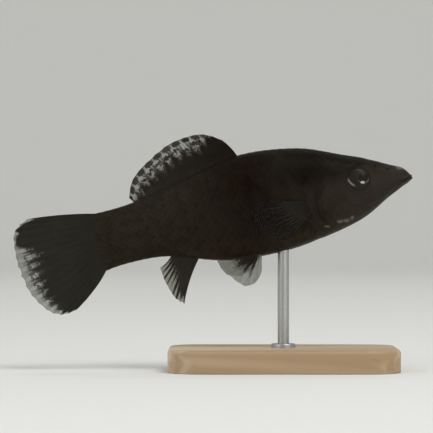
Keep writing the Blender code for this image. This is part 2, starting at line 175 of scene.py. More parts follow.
# The fins, as in the solids: roots and ends of the rays, first ray first, in millimetres. `clear` is the
# width of the clear band along the margin; `foot` is the thickness where the fin leaves the body, and
# the distances out at which it starts and ends thinning.
DORSAL = {
    "rays": 13,
    "rows": 64,
    "root": ((28.9, 8.9), (38.5, 6.9), (48.1, 4.3)),
    "margin": (
        (31.3, 12.75), (34.2, 14.3), (37.7, 14.35), (41.3, 13.4), (44.8, 11.35), (47.7, 8.9), (48.95, 5.85),
    ),
    "bow": (0.25, 0.3, 0.15),
    "wave": 0.35,
    "clear": (0.0, 0.3, 2.2, 3.1, 3.2, 3.1, 3.0, 2.8, 2.4, 1.3),
    "foot": (0.8, 0.3, 1.7),
}
CAUDAL = {
    "rays": 16,
    "rows": 84,
    "root": ((54.6, 4.2), (54.9, -0.6), (54.9, -5.25)),
    "margin": (
        (67.2, 5.65), (69.7, 4.0), (70.3, 0.7), (70.15, -2.9),
        (69.1, -6.8), (67.1, -10.0), (64.6, -11.8), (61.8, -11.5),
    ),
    "bow": (0.3, 0.0, -0.42),
    "wave": 0.70,
    "clear": (2.0, 1.3, 0.3, 1.0, 0.4, 3.3, 4.0, 3.6, 3.3, 3.1, 2.6, 2.2, 1.9, 1.4, 0.8, 0.5, 0.4),
    "foot": (0.94, 1.1, 5.0),
}
ANAL = {
    "rays": 9,
    "rows": 56,
    "root": ((38.9, -6.5), (41.2, -5.9), (43.4, -5.1)),
    "margin": ((43.1, -14.0), (44.3, -12.9), (45.1, -11.1), (45.7, -9.1), (46.0, -7.1)),
    "bow": (0.35, 0.1, -0.2),
    "wave": 0.30,
    "clear": (1.1, 2.1, 3.2, 3.0, 2.5),
    "foot": (0.8, 0.3, 1.7),
}
PELVIC = {"rays": 6, "rows": 44, "clear": (9.0, 9.0, 6.2, 4.2, 3.0, 3.8), "foot": (0.6, 0.2, 1.3)}
PELVIC_ROOT = (28.8, -7.75)
PELVIC_ROOT_SIDE = 1.35
PELVIC_ROOT_LENGTH = 1.3
PELVIC_ANGLES = (84.0, 66.0, 51.0, 36.0, 20.0, 4.0)
PELVIC_LENGTHS = (3.2, 5.5, 6.8, 7.1, 7.4, 7.2)
PELVIC_SPLAY = math.radians(16.0)
PELVIC_TURN_OUT = math.radians(26.0)
PELVIC_LEFT_TURN_OUT = math.radians(8.0)
PELVIC_LEFT_SWEEP = math.radians(26.0)
PECTORAL = {"rays": 11, "rows": 56, "clear": (5.0, 6.5, 4.5), "foot": (0.8, 0.3, 1.5)}
PECTORAL_ROOT = (18.3, -1.55)
PECTORAL_ROOT_SIDE = 4.6
PECTORAL_ROOT_LENGTH = 2.0
PECTORAL_ANGLES = (-10.0, 10.0, 34.0)
PECTORAL_LENGTHS = (9.2, 10.4, 7.0)
PECTORAL_SPLAY = math.radians(17.0)

# Thicknesses of a fin in millimetres between its rays and on a ray, and the mesh columns for each ray.
FIN_SKIN = 0.07
FIN_RAY = 0.24
RAY_COLUMNS = 14
# A ray's half width at its foot and how much it narrows, in steps between rays; and its forks: how
# far each branch leaves the ray, and where out along the fin it starts.
RAY_WIDTH, RAY_TAPER = 0.085, 0.035
RAY_FORKS = ((0.17, 0.42), (0.085, 0.72))
# The pleats of the middle fins and of the paired fins, and the hollow of the paired ones.
PLEAT, PAIRED_PLEAT, PAIRED_CUP = 0.05, 0.04, 0.05
# The notches of a fin's margin between its rays, as a share of its length: the least, and what some add.
NOTCH, MORE_NOTCH = 0.010, 0.012

# The stand, in metres.
BASE_SIZE = (0.040, 0.024, 0.004)
BASE_CORNER = 0.006
BASE_EDGE = 0.0007
ROD_RADIUS = 0.001
ROD_FOOT = 0.0025
ROD_IN_BELLY = 0.0008
COLLAR_RADIUS = 0.0021
COLLAR_HEIGHT = 0.0007
COLLAR_EDGE = 0.00022

SIDES = ((1, "left"), (-1, "right"))


def smooth_curve(places, values):
    """The natural cubic curve through the values. It takes an array of places."""
    places = np.asarray(places, float)
    values = np.asarray(values, float).reshape(len(places), -1)
    steps = np.diff(places)
    slopes = np.diff(values, axis=0) / steps[:, None]
    count = len(places)
    system = np.eye(count)
    wanted = np.zeros_like(values)
    for i in range(1, count - 1):
        system[i, i - 1 : i + 2] = steps[i - 1], 2 * (steps[i - 1] + steps[i]), steps[i]
        wanted[i] = 3 * (slopes[i] - slopes[i - 1])
    bends = np.linalg.solve(system, wanted)

    def at(place):
        place = np.atleast_1d(place).astype(float)
        i = np.clip(np.searchsorted(places, place) - 1, 0, count - 2)
        past = (place - places[i])[:, None]
        step = steps[i][:, None]
        first = slopes[i] - step * (2 * bends[i] + bends[i + 1]) / 3
        third = (bends[i + 1] - bends[i]) / (3 * step)
        return values[i] + past * (first + past * (bends[i] + past * third))

    return at


def evenly(values):
    """A smooth curve that takes the values at even steps from 0 to 1."""
    return smooth_curve(np.linspace(0.0, 1.0, len(values)), values)


def bell(distance, width):
    return np.exp(-((distance / width) ** 2))


def ramp(value, low, high):
    """Climbs smoothly from 0 at low to 1 at high."""
    share = np.clip((value - low) / (high - low), 0.0, 1.0)
    return share * share * (3 - 2 * share)


SECTION_CURVE = smooth_curve([math.sqrt(s[0]) for s in SECTIONS], [s[1:] for s in SECTIONS])
GILL_CURVE = smooth_curve([g[0] for g in GILL_EDGE], [g[1] for g in GILL_EDGE])
POSE = Matrix.Translation((SNOUT_AHEAD, 0, SNOUT_HEIGHT)) @ Matrix.Rotation(-HEAD_UP, 4, "Y")


def moved(points, matrix):
    """Points put through a 4 by 4 matrix."""
    matrix = np.array(matrix)
    return points @ matrix[:3, :3].T + matrix[:3, 3]


def to_world(points):
    """Points from millimetres in the fish's frame to metres over the stand."""
    return moved(np.asarray(points), POSE) * MM


def body_point(along, turn):
    """Points of the plain body. The turn runs from the left side over the back."""
    back, belly, side, widest, back_bend, belly_bend = SECTION_CURVE(np.sqrt(along)).T
    across, up = np.cos(turn), np.sin(turn)
    above = up >= 0
    bend = np.where(above, back_bend, belly_bend)
    height = np.where(above, back - widest, widest - belly)
    y = side * np.sign(across) * np.abs(across) ** (2 / bend)
    z = widest + height * np.sign(up) * np.abs(up) ** (2 / bend)
    return np.stack([-along, y, z], axis=-1)


def side_at(along, height):
    """The plain body's half width at side-view places."""
    back, belly, side, widest, back_bend, belly_bend = SECTION_CURVE(np.sqrt(along)).T
    above = height >= widest
    bend = np.where(above, back_bend, belly_bend)
    share = np.clip(np.abs(height - widest) / np.where(above, back - widest, widest - belly), 0, 1)
    return side * (1 - share**bend) ** (1 / bend)


def on_side(along, height):
    """The point of the plain body's left side at one side-view place."""
    return np.array([-along, float(side_at(np.array([along]), np.array([height]))[0]), height])


def gill_edge(angle):
    """How far along the gill cover's free edge lies, at angles over the middle of the side."""
    return GILL_CURVE(np.ravel(angle))[:, 0].reshape(np.shape(angle))


def even_turns(distances, count):
    """For each distance along the body, turns at even steps round it, from the back to the left."""
    fine = np.linspace(math.pi / 2, -1.5 * math.pi, FINE_TURNS + 1)
    wanted = np.linspace(0.0, 1.0, count + 1)
    turns = np.empty((len(distances), count + 1))
    for row, distance in enumerate(distances):
        ring = body_point(np.full(fine.shape, distance), fine)
        travelled = np.append(0.0, np.cumsum(np.linalg.norm(np.diff(ring, axis=0), axis=1)))
        turns[row] = np.interp(wanted, travelled / max(travelled[-1], 1e-9), fine)
    return turns


def outwards(along, turn):
    """The plain body's outward directions."""
    small_step, small_turn = 0.02, 0.004
    ahead = body_point(np.maximum(along - small_step, 0), turn)
    behind = body_point(np.minimum(along + small_step, BODY_END), turn)
    over = body_point(along, turn + small_turn) - body_point(along, turn - small_turn)
    normal = np.cross(behind - ahead, over)
    length = np.linalg.norm(normal, axis=1, keepdims=True)
    forward = np.array([[1.0, 0.0, 0.0]])
    return np.where(length > 1e-9, normal / np.maximum(length, 1e-9), forward)


def from_line(along, height, corners):
    """How far side-view places lie from a smooth line through the corners."""
    line = evenly(corners)(np.linspace(0, 1, 70))
    return np.hypot(along[:, None] - line[:, 0], height[:, None] - line[:, 1]).min(axis=1)


def eye_turned(side):
    """Turns and places the eye of one side (+1 left, -1 right), in millimetres."""
    place = Matrix.Translation((-EYE_AT, side * EYE_SIDE, EYE_HEIGHT))
    ahead = Matrix.Rotation(-side * EYE_FACES_AHEAD, 4, "Z")
    return place @ ahead @ Matrix.Rotation(side * EYE_FACES_UP, 4, "X")


def from_eye(points):
    """How far points lie from the axis of the eye on their side."""
    left = points * np.array([1.0, np.nan, 1.0])
    left[:, 1] = np.abs(points[:, 1])
    local = moved(left, eye_turned(1).inverted())
    return np.hypot(local[:, 0], local[:, 2])


def groove(away, cut):
    """A rounded groove with a cut's depth and half width, at distances from its middle."""
    return -cut[0] * bell(away, cut[1])


def mouth_relief(along, height):
    """The slit between the lips, the rolled lips and the folds behind them."""
    line = MOUTH_TIP + (MOUTH_CORNER[1] - MOUTH_TIP) * along / MOUTH_CORNER[0]
    above = height - line
    out = groove(above, MOUTH_SLIT) * (1 - ramp(along, 1.9, 2.45)) * (0.3 + 0.7 * ramp(along, 0.0, 0.5))
    for level, rise, width in LIPS:
        out += rise * bell(above - level, width) * (1 - ramp(along, 1.6, 2.6))
    for level, start, end in LIP_CREASES:
        out += groove(above - level, CREASE_CUT) * (1 - ramp(along, start, end))
    out += groove(from_line(along, height, LIP_FOLD), LIP_FOLD_CUT) * (1 - 0.6 * ramp(height, 1.6, 2.4))
    return out + groove(from_line(along, height, JAW_FOLD), JAW_FOLD_CUT)


def pit_relief(points, pits, depth, collar):
    """Round pits in both sides of the head, each (along, height, radius), with a low collar round it."""
    mirrored = np.stack([points[:, 0], np.abs(points[:, 1]), points[:, 2]], axis=1)
    out = np.zeros(len(points))
    for along, height, radius in pits:
        away = np.linalg.norm(mirrored - on_side(along, height), axis=1)
        out += collar * bell(away - 1.7 * radius, 0.7 * radius) - depth * bell(away, radius)
    return out


def eye_relief(points):
    """The socket under the eyeball and the low rim round it."""
    away = from_eye(points)
    socket = -SOCKET_DEPTH * (1 - ramp(away, EYE_SEEN - 0.21, EYE_SEEN - 0.01))
    rim = 0.06 * bell(away - EYE_SEEN - 0.22, 0.25) - 0.035 * bell(away - EYE_SEEN - 0.85, 0.32)
    brow = 0.05 * bell(away - EYE_SEEN - 1.2, 0.5) * ramp(points[:, 2], 2.4, 4.0)
    return socket + rim + brow


def side_angle(turn):
    """Degrees over the middle of the side, the same on the left and on the right."""
    return np.degrees(np.arcsin(np.clip(np.sin(turn), -1, 1)))


def gill_relief(along, height, turn):
    """The gill cover, raised to its free edge, the slit behind it and the folds of cheek and throat."""
    angle = side_angle(turn)
    behind = along - gill_edge(angle)
    shown = (1 - ramp(angle, GILL_TOP - 20, GILL_TOP + 6)) * (1 - 0.75 * ramp(-angle, 70, 88))
    cover = GILL_RISE * ramp(behind, -4.5, -0.4) * (1 - ramp(behind, -0.16, 0.0))
    slit = groove(behind - 0.08, GILL_SLIT)
    throat = ramp(-angle, 38, 52) * (1 - ramp(-angle, 84, 89))
    folds = sum(groove(behind + step, THROAT_CUT) for step in THROAT_FOLDS)
    cheek = groove(from_line(along, height, CHEEK_FOLD), CHEEK_FOLD_CUT) * (1 - 0.8 * ramp(height, 0.8, 3.2))
    top = groove(from_line(along, height, COVER_TOP_FOLD), COVER_TOP_CUT)
    return (cover + slit) * shown + folds * throat + cheek + top


def scaled_at(along, angle):
    """1 where scales cover the skin, 0 on the bare snout, face and throat."""
    front = np.interp(angle, [f[0] for f in SCALE_FRONT], [f[1] for f in SCALE_FRONT])
    return ramp(along - front, -1.2, 0.4)


def relief(along, turn, points):
    """How far the skin stands out of the plain body."""
    height = points[:, 2]
    out = mouth_relief(along, height) + gill_relief(along, height, turn) + eye_relief(points)
    out += pit_relief(points, NOSTRILS, *NOSTRIL_PIT) + pit_relief(points, PORES, *PORE_PIT)
    return out - COAT * scaled_at(along, side_angle(turn))


def skin_point(along, turn):
    """Points of the finished skin."""
    points = body_point(along, turn)
    return points + outwards(along, turn) * relief(along, turn, points)[:, None]


def added(name):
    """The primitive just added, named, with its mesh."""
    piece = bpy.context.object
    piece.name = name
    piece.data.name = name
    return piece


def settled(name):
    """The primitive just added, with its place, turn and size put into its mesh."""
    piece = added(name)
    bpy.ops.object.transform_apply()
    return piece


def corners_of(piece):
    points = np.empty(len(piece.data.vertices) * 3)
    piece.data.vertices.foreach_get("co", points)
    return points.reshape(-1, 3)


def reshape(piece, points):
    piece.data.vertices.foreach_set("co", np.asarray(points, float).ravel())
    piece.data.update()


def keep_values(piece, name, values):
    """Keeps a number at each corner of the mesh, for the material."""
    piece.data.attributes.new(name, "FLOAT", "POINT").data.foreach_set("value", np.ravel(values))


def lay_map(piece, name, places):
    """Lays a UV map out of each corner's place on it."""
    corners = np.empty(len(piece.data.loops), int)
    piece.data.loops.foreach_get("vertex_index", corners)
    layer = piece.data.uv_layers.new(name=name)
    layer.data.foreach_set("uv", places.reshape(-1, 2)[corners].ravel())


def pick(piece):
    """Selects one piece alone."""
    bpy.ops.object.select_all(action="DESELECT")
    piece.select_set(True)
    bpy.context.view_layer.objects.active = piece


def apply_all(piece):
    pick(piece)
    for modifier in list(piece.modifiers):
        bpy.ops.object.modifier_apply(modifier=modifier.name)


def smooth(piece, angle=180.0):
    """Shades a piece smoothly, but for edges sharper than the angle."""
    pick(piece)
    if angle >= 180.0:
        bpy.ops.object.shade_smooth()
    else:
        bpy.ops.object.shade_smooth_by_angle(angle=math.radians(angle))


def finish_piece(piece, look, nodes=()):
    """Gives a piece its material and its place in the model."""
    piece.data.materials.clear()
    piece.data.materials.append(look)
    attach(piece, "root")
    if nodes:
        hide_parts(*nodes)
    return piece


def build_skin(look):
    """One unbroken skin: a ball drawn out ring by ring into the body."""
    bpy.ops.mesh.primitive_uv_sphere_add(segments=SKIN_SEGMENTS, ring_count=SKIN_RINGS, radius=1.0)
    skin = added("body_skin")
    ball = corners_of(skin)
    rings = np.rint(np.arccos(np.clip(ball[:, 2], -1, 1)) / math.pi * SKIN_RINGS).astype(int)
    around = (math.pi / 2 - np.arctan2(ball[:, 1], ball[:, 0])) % (2 * math.pi) / (2 * math.pi)
    columns = np.rint(around * SKIN_SEGMENTS).astype(int) % SKIN_SEGMENTS
    distances = (np.arange(SKIN_RINGS + 1) / SKIN_RINGS) ** RING_POWER * BODY_END
    turns = even_turns(distances, SKIN_SEGMENTS)
    points = skin_point(distances[rings], turns[rings, columns])
    reshape(skin, to_world(points))
    smooth(skin)
    nodes = ("head", "lower_jaw", "gill_cover_left", "gill_cover_right", "trunk", "tail_stalk")
    return finish_piece(skin, look, nodes)


class SkinMap:
    """The finished skin as a sheet: distance along the body by share of the way round from the back."""

    def __init__(self, step=0.2, count=360):
        self.distances = np.arange(2.0, BODY_END + step / 2, step)
        self.step = step
        self.count = count
        self.turns = even_turns(self.distances, count)
        flat = np.repeat(self.distances, count + 1)
        self.points = skin_point(flat, self.turns.ravel()).reshape(len(self.distances), count + 1, 3)
        self.angles = side_angle(self.turns)[:, :, None]
        along = np.gradient(self.points, axis=0)
        wrapped = np.concatenate([self.points[:, -2:-1], self.points, self.points[:, 1:2]], axis=1)
        over = (wrapped[:, 2:] - wrapped[:, :-2]) / 2
        normals = np.cross(over, along)
        self.normals = normals / np.linalg.norm(normals, axis=2, keepdims=True)
        self.girths = np.linalg.norm(np.diff(self.points, axis=1), axis=2).sum(axis=1)

    def girth(self, along):
        return np.interp(along, self.distances, self.girths)

    def read(self, sheet, along, around):
        """Values of one sheet, by straight steps between its own points."""
        row = np.clip((along - self.distances[0]) / self.step, 0, len(self.distances) - 1.001)
        column = (around % 1.0) * self.count
        i, j = row.astype(int), np.minimum(column.astype(int), self.count - 1)
        a, b = (row - i)[..., None], (column - j)[..., None]
        near = sheet[i, j] * (1 - b) + sheet[i, j + 1] * b
        far = sheet[i + 1, j] * (1 - b) + sheet[i + 1, j + 1] * b
        return near * (1 - a) + far * a

    def angle(self, along, around):
        return self.read(self.angles, along, around)[..., 0]

    def over(self, along, around, lift):
        """Points over the skin by lift. Past the body's end they go on over the root of the tail fin."""
        points = self.read(self.points, along, around)
        points = points + self.read(self.normals, along, around) * lift[..., None]
        past = np.maximum(along - BODY_END, 0.0)
        points[..., 0] -= past
        points[..., 1] *= 1 - 0.13 * past
        return points


def model_scale(count):
    """Thin round plates, one for each scale, flat from -1 to 1, with the free edge at +X."""
    bpy.ops.mesh.primitive_grid_add(x_subdivisions=SCALE_PARTS[0], y_subdivisions=SCALE_PARTS[1], size=2.0)
    scale = added("one_scale")
    x, y, _ = corners_of(scale).T
    reshape(scale, np.stack([x * np.sqrt(1 - y * y / 2), y * np.sqrt(1 - x * x / 2), 0 * x], axis=1))
    plate = scale.modifiers.new("plate", "SOLIDIFY")
    plate.thickness = 1.0
    plate.offset = -1.0
    apply_all(scale)
    shape = corners_of(scale)
    copies = scale.modifiers.new("copies", "ARRAY")
    copies.count = count
    copies.use_merge_vertices = False
    apply_all(scale)
    return scale, shape


def scale_places(sheet):
    """Where the scales are: how far along each free edge lies, and its share of the way round."""
    columns = np.arange(SCALES_FROM, BODY_END + TAIL_SCALES, SCALE_STEP)
    stagger = 0.5 * (np.arange(len(columns)) % 2)
    around = ((np.arange(SCALE_ROWS)[None, :] + stagger[:, None]) / SCALE_ROWS).ravel()
    edge = np.repeat(columns, SCALE_ROWS)
    middle = edge - SCALE_LENGTH / 2
    angle = sheet.angle(middle, around)
    behind = edge - gill_edge(angle)
    kept = scaled_at(edge - SCALE_LENGTH * 0.55, angle) > 0.6
    kept &= from_eye(sheet.read(sheet.points, middle, around)) > EYE_SEEN + 1.5
    kept &= ~((behind > NO_SCALES[0]) & (behind < NO_SCALES[1]) & (angle < GILL_TOP))
    kept &= edge < BODY_END - 0.3 + TAIL_SCALES * np.cos(np.radians(angle)) ** 2
    return edge[kept], around[kept]


def build_scales(sheet, look):
    """The scales of each side, laid on the skin with every free edge over the next scale's root."""
    edges, arounds = scale_places(sheet)
    for name, chosen in (("scales_left", arounds <= 0.5), ("scales_right", arounds > 0.5)):
        edge, around = edges[chosen, None], arounds[chosen, None]
        coat, shape = model_scale(len(edge))
        coat.name = name
        coat.data.name = name
        x, y, upper = shape[None, :, 0], shape[None, :, 1], shape[None, :, 2] > -0.5
        along = edge + (x - 1) * SCALE_LENGTH / 2
        across = -y * sheet.girth(edge) / SCALE_ROWS * SCALE_OVERLAP / 2
        share = around + across / sheet.girth(along)
        angle = sheet.angle(along, share)
        gill = gill_edge(angle)
        slit = angle < GILL_TOP
        behind = edge > gill_edge(sheet.angle(edge, around))
        start, end = gill + SLIT_BEHIND, gill - SLIT_AHEAD
        along = np.where(slit & behind & (along < start), start - SLIT_SQUEEZE * (start - along), along)
        along = np.where(slit & ~behind & (along > end), end + SLIT_SQUEEZE * (along - end), along)
        toward_edge = np.clip(1 - (edge - along) / SCALE_LENGTH, 0, 1)
        lift = (COAT + EDGE_LIFT) * toward_edge + SCALE_BULGE * (1 - y * y) - ROOT_SINK
        tucked = slit & behind & (along - gill < 0.8)
        lift = np.where(tucked, np.minimum(lift, 0.12 * (along - gill) - ROOT_SINK), lift)
        lift = np.where(upper, lift, lift - SCALE_THICKNESS)
        reshape(coat, to_world(sheet.over(along, share, lift).reshape(-1, 3)))
        root = np.stack([(edge - SCALE_LENGTH / 2) / BODY_END, around], axis=-1) * 0.96 + 0.02
        own = np.broadcast_to(shape[None, :, :2], (len(edge), len(shape), 2))
        lay_map(coat, "OFBake", root + own * BAKE_PATCH / 2)
        lay_map(coat, "scale", own / 2 + 0.5)
        number = np.arange(len(edge))[:, None] + 0 * x
        keep_values(coat, "tone", (np.sin(number * 12.9898 + 4.1) * 43758.5453) % 1.0)
        smooth(coat, 50.0)
        finish_piece(coat, look)


def ray_ridges(ray, toward_margin, last):
    """1 on the rays and 0 between them. Rays fork twice on their way out."""
    nearest = np.rint(ray)
    off = ray - nearest
    whole = (nearest > 0.5) & (nearest < last - 0.5)
    first, second = (reach * ramp(toward_margin, start, 1.0) * whole for reach, start in RAY_FORKS)
    width = RAY_WIDTH - RAY_TAPER * toward_margin
    branches = [bell(off - one * first - two * second, width) for one in (-1, 1) for two in (-1, 1)]
    return np.max(branches, axis=0)


def build_fin(fin, name, place, look):
    """A fin: a sheet shaped by place(u, v), thick on its rays, with its measures kept for the material."""
    rays = fin["rays"]
    columns = (rays - 1) * RAY_COLUMNS
    bpy.ops.mesh.primitive_grid_add(x_subdivisions=columns, y_subdivisions=fin["rows"], size=1.0)
    sheet = added(f"{name}_skin")
    u, v, _ = (corners_of(sheet) + 0.5).T
    length = np.linalg.norm(place(u, np.ones_like(v)) - place(u, np.zeros_like(v)), axis=1)
    ridges = ray_ridges(u * (rays - 1), v, rays - 1)
    rim = (1 - v) * length
    reshape(sheet, to_world(place(u, v)))
    keep_values(sheet, "ray", u * (rays - 1))
    keep_values(sheet, "rim", rim)
    keep_values(sheet, "clear", np.maximum(evenly(fin["clear"])(u)[:, 0], 0.0))
    keep_values(sheet, "ridge", ridges)
    thickness = FIN_SKIN + (FIN_RAY * (1 - 0.45 * v) - FIN_SKIN) * ridges
    foot, plateau, reach = fin["foot"]
    thickness += (foot - thickness) * (1 - ramp(v * length, plateau, reach))
    thickness *= 0.4 + 0.6 * ramp(rim, -0.5, 0.25)
    group = sheet.vertex_groups.new(name="thickness")
    top = FIN_RAY + foot
    for index, share in enumerate(thickness / top):
        group.add([index], float(share), "REPLACE")
    plate = sheet.modifiers.new("plate", "SOLIDIFY")
    plate.thickness = top * MM
    plate.offset = 0.0
    plate.vertex_group = group.name
    apply_all(sheet)
    sheet.vertex_groups.clear()
    smooth(sheet, 60.0)
    return finish_piece(sheet, look, (name,))


def margin_reach(u, v, rays):
    """How far out the sheet reaches: full on a ray and notched between two, a few notches deeper."""
    between = np.abs(np.sin(math.pi * u * (rays - 1)))
    depth = NOTCH + MORE_NOTCH * np.clip(np.sin(7.3 * np.floor(u * (rays - 1)) + 1.3), 0, 1)
    return 1.0 - depth * between**0.7 * v**6


def middle_fin(fin):
    """place(u, v) of the dorsal, tail or anal fin, which stands in the centre plane."""
    root_at, margin_at, bow_at = evenly(fin["root"]), evenly(fin["margin"]), evenly(fin["bow"])

    def place(u, v):
        start, end = root_at(u), margin_at(u)
        ray = (end - start) * margin_reach(u, v, fin["rays"])[:, None]
        sideways = np.stack([-ray[:, 1], ray[:, 0]], axis=1)
        sideways /= np.linalg.norm(sideways, axis=1, keepdims=True)
        flat = start + ray * v[:, None] + sideways * (4 * v * (1 - v) * bow_at(u)[:, 0])[:, None]
        swing = fin["wave"] * v * v * np.sin(math.pi * (0.25 + 1.5 * u))
        pleat = PLEAT * v * np.sin(2 * math.pi * u * (fin["rays"] - 1))
        return np.stack([-flat[:, 0], swing + pleat, flat[:, 1]], axis=1)

    return place


def fan_fin(angles, lengths, rays, root, matrix):
    """place(u, v) of a paired fin: rays spread from a short root, which root(u) gives."""
    angle_at, length_at = evenly(angles), evenly(lengths)

    def place(u, v):
        angle = np.radians(angle_at(u)[:, 0])
        length = length_at(u)[:, 0] * margin_reach(u, v, rays)
        cup = PAIRED_CUP * length * v * v * np.cos(math.pi * u)
        pleat = PAIRED_PLEAT * v * np.sin(2 * math.pi * u * (rays - 1))
        ray = np.stack([-np.cos(angle) * length * v, cup + pleat, -np.sin(angle) * length * v], axis=1)
        return moved(root(u, v) + ray, matrix)

    return place


def pelvic_fin(side):
    place = Matrix.Translation((-PELVIC_ROOT[0], side * PELVIC_ROOT_SIDE, PELVIC_ROOT[1]))
    turn_out = Matrix.Rotation(-side * (PELVIC_LEFT_TURN_OUT if side > 0 else PELVIC_TURN_OUT), 4, "Z")
    splay = Matrix.Rotation(side * PELVIC_SPLAY, 4, "X")
    lie_back = Matrix.Rotation(PELVIC_LEFT_SWEEP if side > 0 else 0.0, 4, "Y")

    def root(u, v):
        along_belly = (0.5 - u) * PELVIC_ROOT_LENGTH * (1 - v)
        return np.stack([along_belly, 0 * u, 0 * u], axis=1)

    return fan_fin(PELVIC_ANGLES, PELVIC_LENGTHS, PELVIC["rays"], root, place @ turn_out @ splay @ lie_back)


def pectoral_fin(side):
    place = Matrix.Translation((-PECTORAL_ROOT[0], side * PECTORAL_ROOT_SIDE, PECTORAL_ROOT[1]))
    splay = Matrix.Rotation(-side * PECTORAL_SPLAY, 4, "Z")

    def root(u, v):
        return np.stack([0 * u, 0 * u, (0.5 - u) * PECTORAL_ROOT_LENGTH], axis=1)

    return fan_fin(PECTORAL_ANGLES, PECTORAL_LENGTHS, PECTORAL["rays"], root, place @ splay)


def build_fins(looks):
    for fin, name, word in ((DORSAL, "dorsal", "dorsal"), (CAUDAL, "caudal", "tail"), (ANAL, "anal", "anal")):
        build_fin(fin, f"{name}_fin", middle_fin(fin), looks[word])
    for side, word in SIDES:
        build_fin(PELVIC, f"pelvic_fin_{word}", pelvic_fin(side), looks["pelvic"])
        build_fin(PECTORAL, f"pectoral_fin_{word}", pectoral_fin(side), looks["pectoral"])


def eye_surface(x, z):
    """How far the eye's outer surface stands out of its middle."""
    return EYE_DEPTH * np.sqrt(np.clip(1 - (x * x + z * z) / EYE_RADIUS**2, 0, 1))


def build_eyes(look):
    for side, word in SIDES:
        ball = eye_ball(f"eye_{word}_ball", side)
        reshape(ball, to_world(moved(corners_of(ball), eye_turned(side))))
        smooth(ball)
        finish_piece(ball, look, (f"eye_{word}",))


def eye_ball(name, side):
    """The eye, with the lens as a low dome in its groove. The map `disc` holds side-view millimetres."""
    bpy.ops.mesh.primitive_uv_sphere_add(
        segments=128, ring_count=96, radius=1.0, rotation=(math.pi / 2, 0, 0)
    )
    ball = settled(name)
    x, y, z = corners_of(ball).T
    x, z = x * EYE_RADIUS, z * EYE_RADIUS
    from_pupil = np.hypot(x - PUPIL[0], z - PUPIL[1])
    dome = LENS_RISE * np.clip(1 - (from_pupil / PUPIL_RADIUS) ** 2, 0, 1)
    lens = dome - 0.04 * bell(from_pupil - PUPIL_RADIUS, 0.07)
    reshape(ball, np.stack([x, y * EYE_DEPTH + side * lens * ramp(y * side, 0.2, 0.6), z], axis=1))
    lay_map(ball, "disc", np.stack([x, z], axis=1) / DISC_SIZE + 0.5)
    return ball


def build_eye_rims(look):
    """A soft round lip of skin on each eye socket."""
    matrix, thin = eye_turned(1), 0.25
    for side, word in SIDES:
        bpy.ops.mesh.primitive_torus_add(
            major_segments=120, minor_segments=18, major_radius=1.0, minor_radius=thin
        )
        rim = added(f"eye_{word}_rim")
        x, y, z = corners_of(rim).T
        angle = np.arctan2(y, x)
        ring = EYE_SEEN + RIM_PLACE + (np.hypot(x, y) - 1.0) / thin * RIM_OUT
        ahead, up = ring * np.cos(angle), ring * np.sin(angle)
        flat = moved(np.stack([ahead, np.zeros_like(ring), up], axis=1), matrix)
        along, height = -flat[:, 0], flat[:, 2]
        eye_level = moved(np.stack([ahead, eye_surface(ahead, up), up], axis=1), matrix)[:, 1]
        level = np.maximum(side_at(along, height) + 0.03, eye_level - 0.02)
        across = side * (level + z / thin * RIM_UP)
        reshape(rim, to_world(np.stack([-along, across, height], axis=1)))
        if side > 0:
            turn_faces(rim)
        smooth(rim)
        finish_piece(rim, look)


def turn_faces(piece):
    """Makes every face of a closed piece point outwards."""
    pick(piece)
    bpy.ops.object.mode_set(mode="EDIT")
    bpy.ops.mesh.select_all(action="SELECT")
    bpy.ops.mesh.normals_make_consistent(inside=False)
    bpy.ops.object.mode_set(mode="OBJECT")


def select_edges(piece, wanted):
    """In edit mode, selects the edges whose two ends pass the test."""
    bpy.ops.mesh.select_mode(type="EDGE")
    bpy.ops.mesh.select_all(action="DESELECT")
    bpy.ops.object.mode_set(mode="OBJECT")
    places = corners_of(piece)
    for edge in piece.data.edges:
        edge.select = bool(wanted(places[edge.vertices[0]], places[edge.vertices[1]]))
    bpy.ops.object.mode_set(mode="EDIT")


def bevel_edges(piece, *bevels):
    """Rounds edges. Each bevel is a test of an edge's ends, the offset and the number of steps."""
    bpy.ops.object.mode_set(mode="EDIT")
    for wanted, offset, steps in bevels:
        select_edges(piece, wanted)
        bpy.ops.mesh.bevel(offset=offset, segments=steps)
    bpy.ops.object.mode_set(mode="OBJECT")


def upright(name, radius, foot, top, vertices):
    """A round bar from one height to another over the stand's origin."""
    bpy.ops.mesh.primitive_cylinder_add(
        vertices=vertices, radius=radius, depth=top - foot, location=(0, 0, (top + foot) / 2)
    )
    return settled(name)


def build_stand(wood, steel):
    thick = BASE_SIZE[2]
    bpy.ops.mesh.primitive_cube_add(size=1.0, location=(0, 0, thick / 2), scale=BASE_SIZE)
    base = settled("stand_base_wood")
    bevel_edges(
        base,
        (lambda a, b: abs(a[2] - b[2]) > thick / 2, BASE_CORNER, 16),
        (lambda a, b: min(a[2], b[2]) > thick * 0.99, BASE_EDGE, 5),
        (lambda a, b: max(a[2], b[2]) < thick * 0.01, BASE_EDGE / 3, 2),
    )
    rod = upright("stand_rod_steel", ROD_RADIUS, ROD_FOOT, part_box("stand_rod")[1].z + ROD_IN_BELLY, 64)
    collar = upright("stand_collar", COLLAR_RADIUS, thick, thick + COLLAR_HEIGHT, 72)
    bevel_edges(collar, (lambda a, b: min(a[2], b[2]) > thick + COLLAR_HEIGHT * 0.9, COLLAR_EDGE, 4))
    for piece in (base, rod, collar):
        smooth(piece, 35.0)
    finish_piece(base, wood, ("stand_base",))
    finish_piece(rod, steel, ("stand_rod",))
    finish_piece(collar, steel)


def plug(made, inputs):
    """Gives a node's inputs their values. A wire is linked, and a number or a colour is set."""
    for key, value in dict(inputs).items():
        if isinstance(value, Wire):
            made.id_data.links.new(value.socket, made.inputs[key])
        else:
            made.inputs[key].default_value = value


